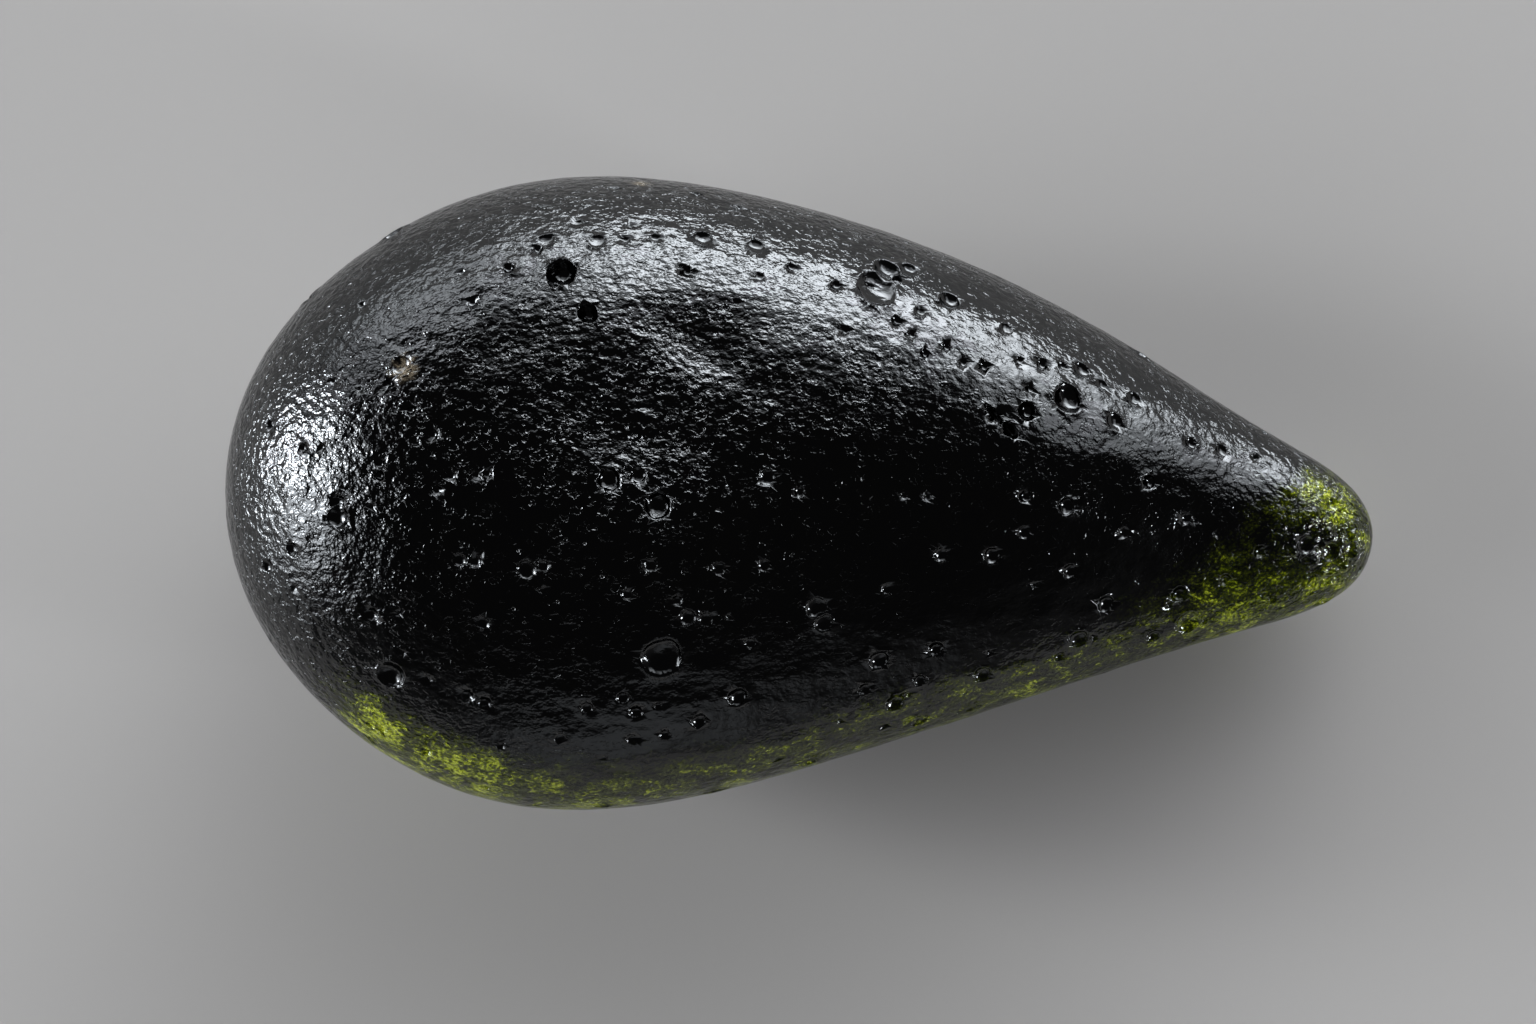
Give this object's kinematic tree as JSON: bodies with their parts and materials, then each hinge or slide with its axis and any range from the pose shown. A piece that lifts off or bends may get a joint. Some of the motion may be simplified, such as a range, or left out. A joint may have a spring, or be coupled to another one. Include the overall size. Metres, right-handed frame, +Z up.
{
  "type": "tektite",
  "caption": "Teardrop tektite of dark bottle-green natural glass with a glossy pitted skin, lying on its belly. For a specimen shelf or a stone display.",
  "frame": {"origin": "on the surface that the drop lies on, below the middle of its box", "axes": "+X from the broad end to the tip, +Z up, +Y to the side that is uppermost in the picture"},
  "size_m": [0.06, 0.033, 0.0191],
  "materials": {
    "tektite_glass": "near-black bottle-green glass, glossy over a fine scaly relief, olive where it is thin"
  },
  "bodies": {
    "root": {"tektite": "tektite_glass"}
  },
  "joints": []
}
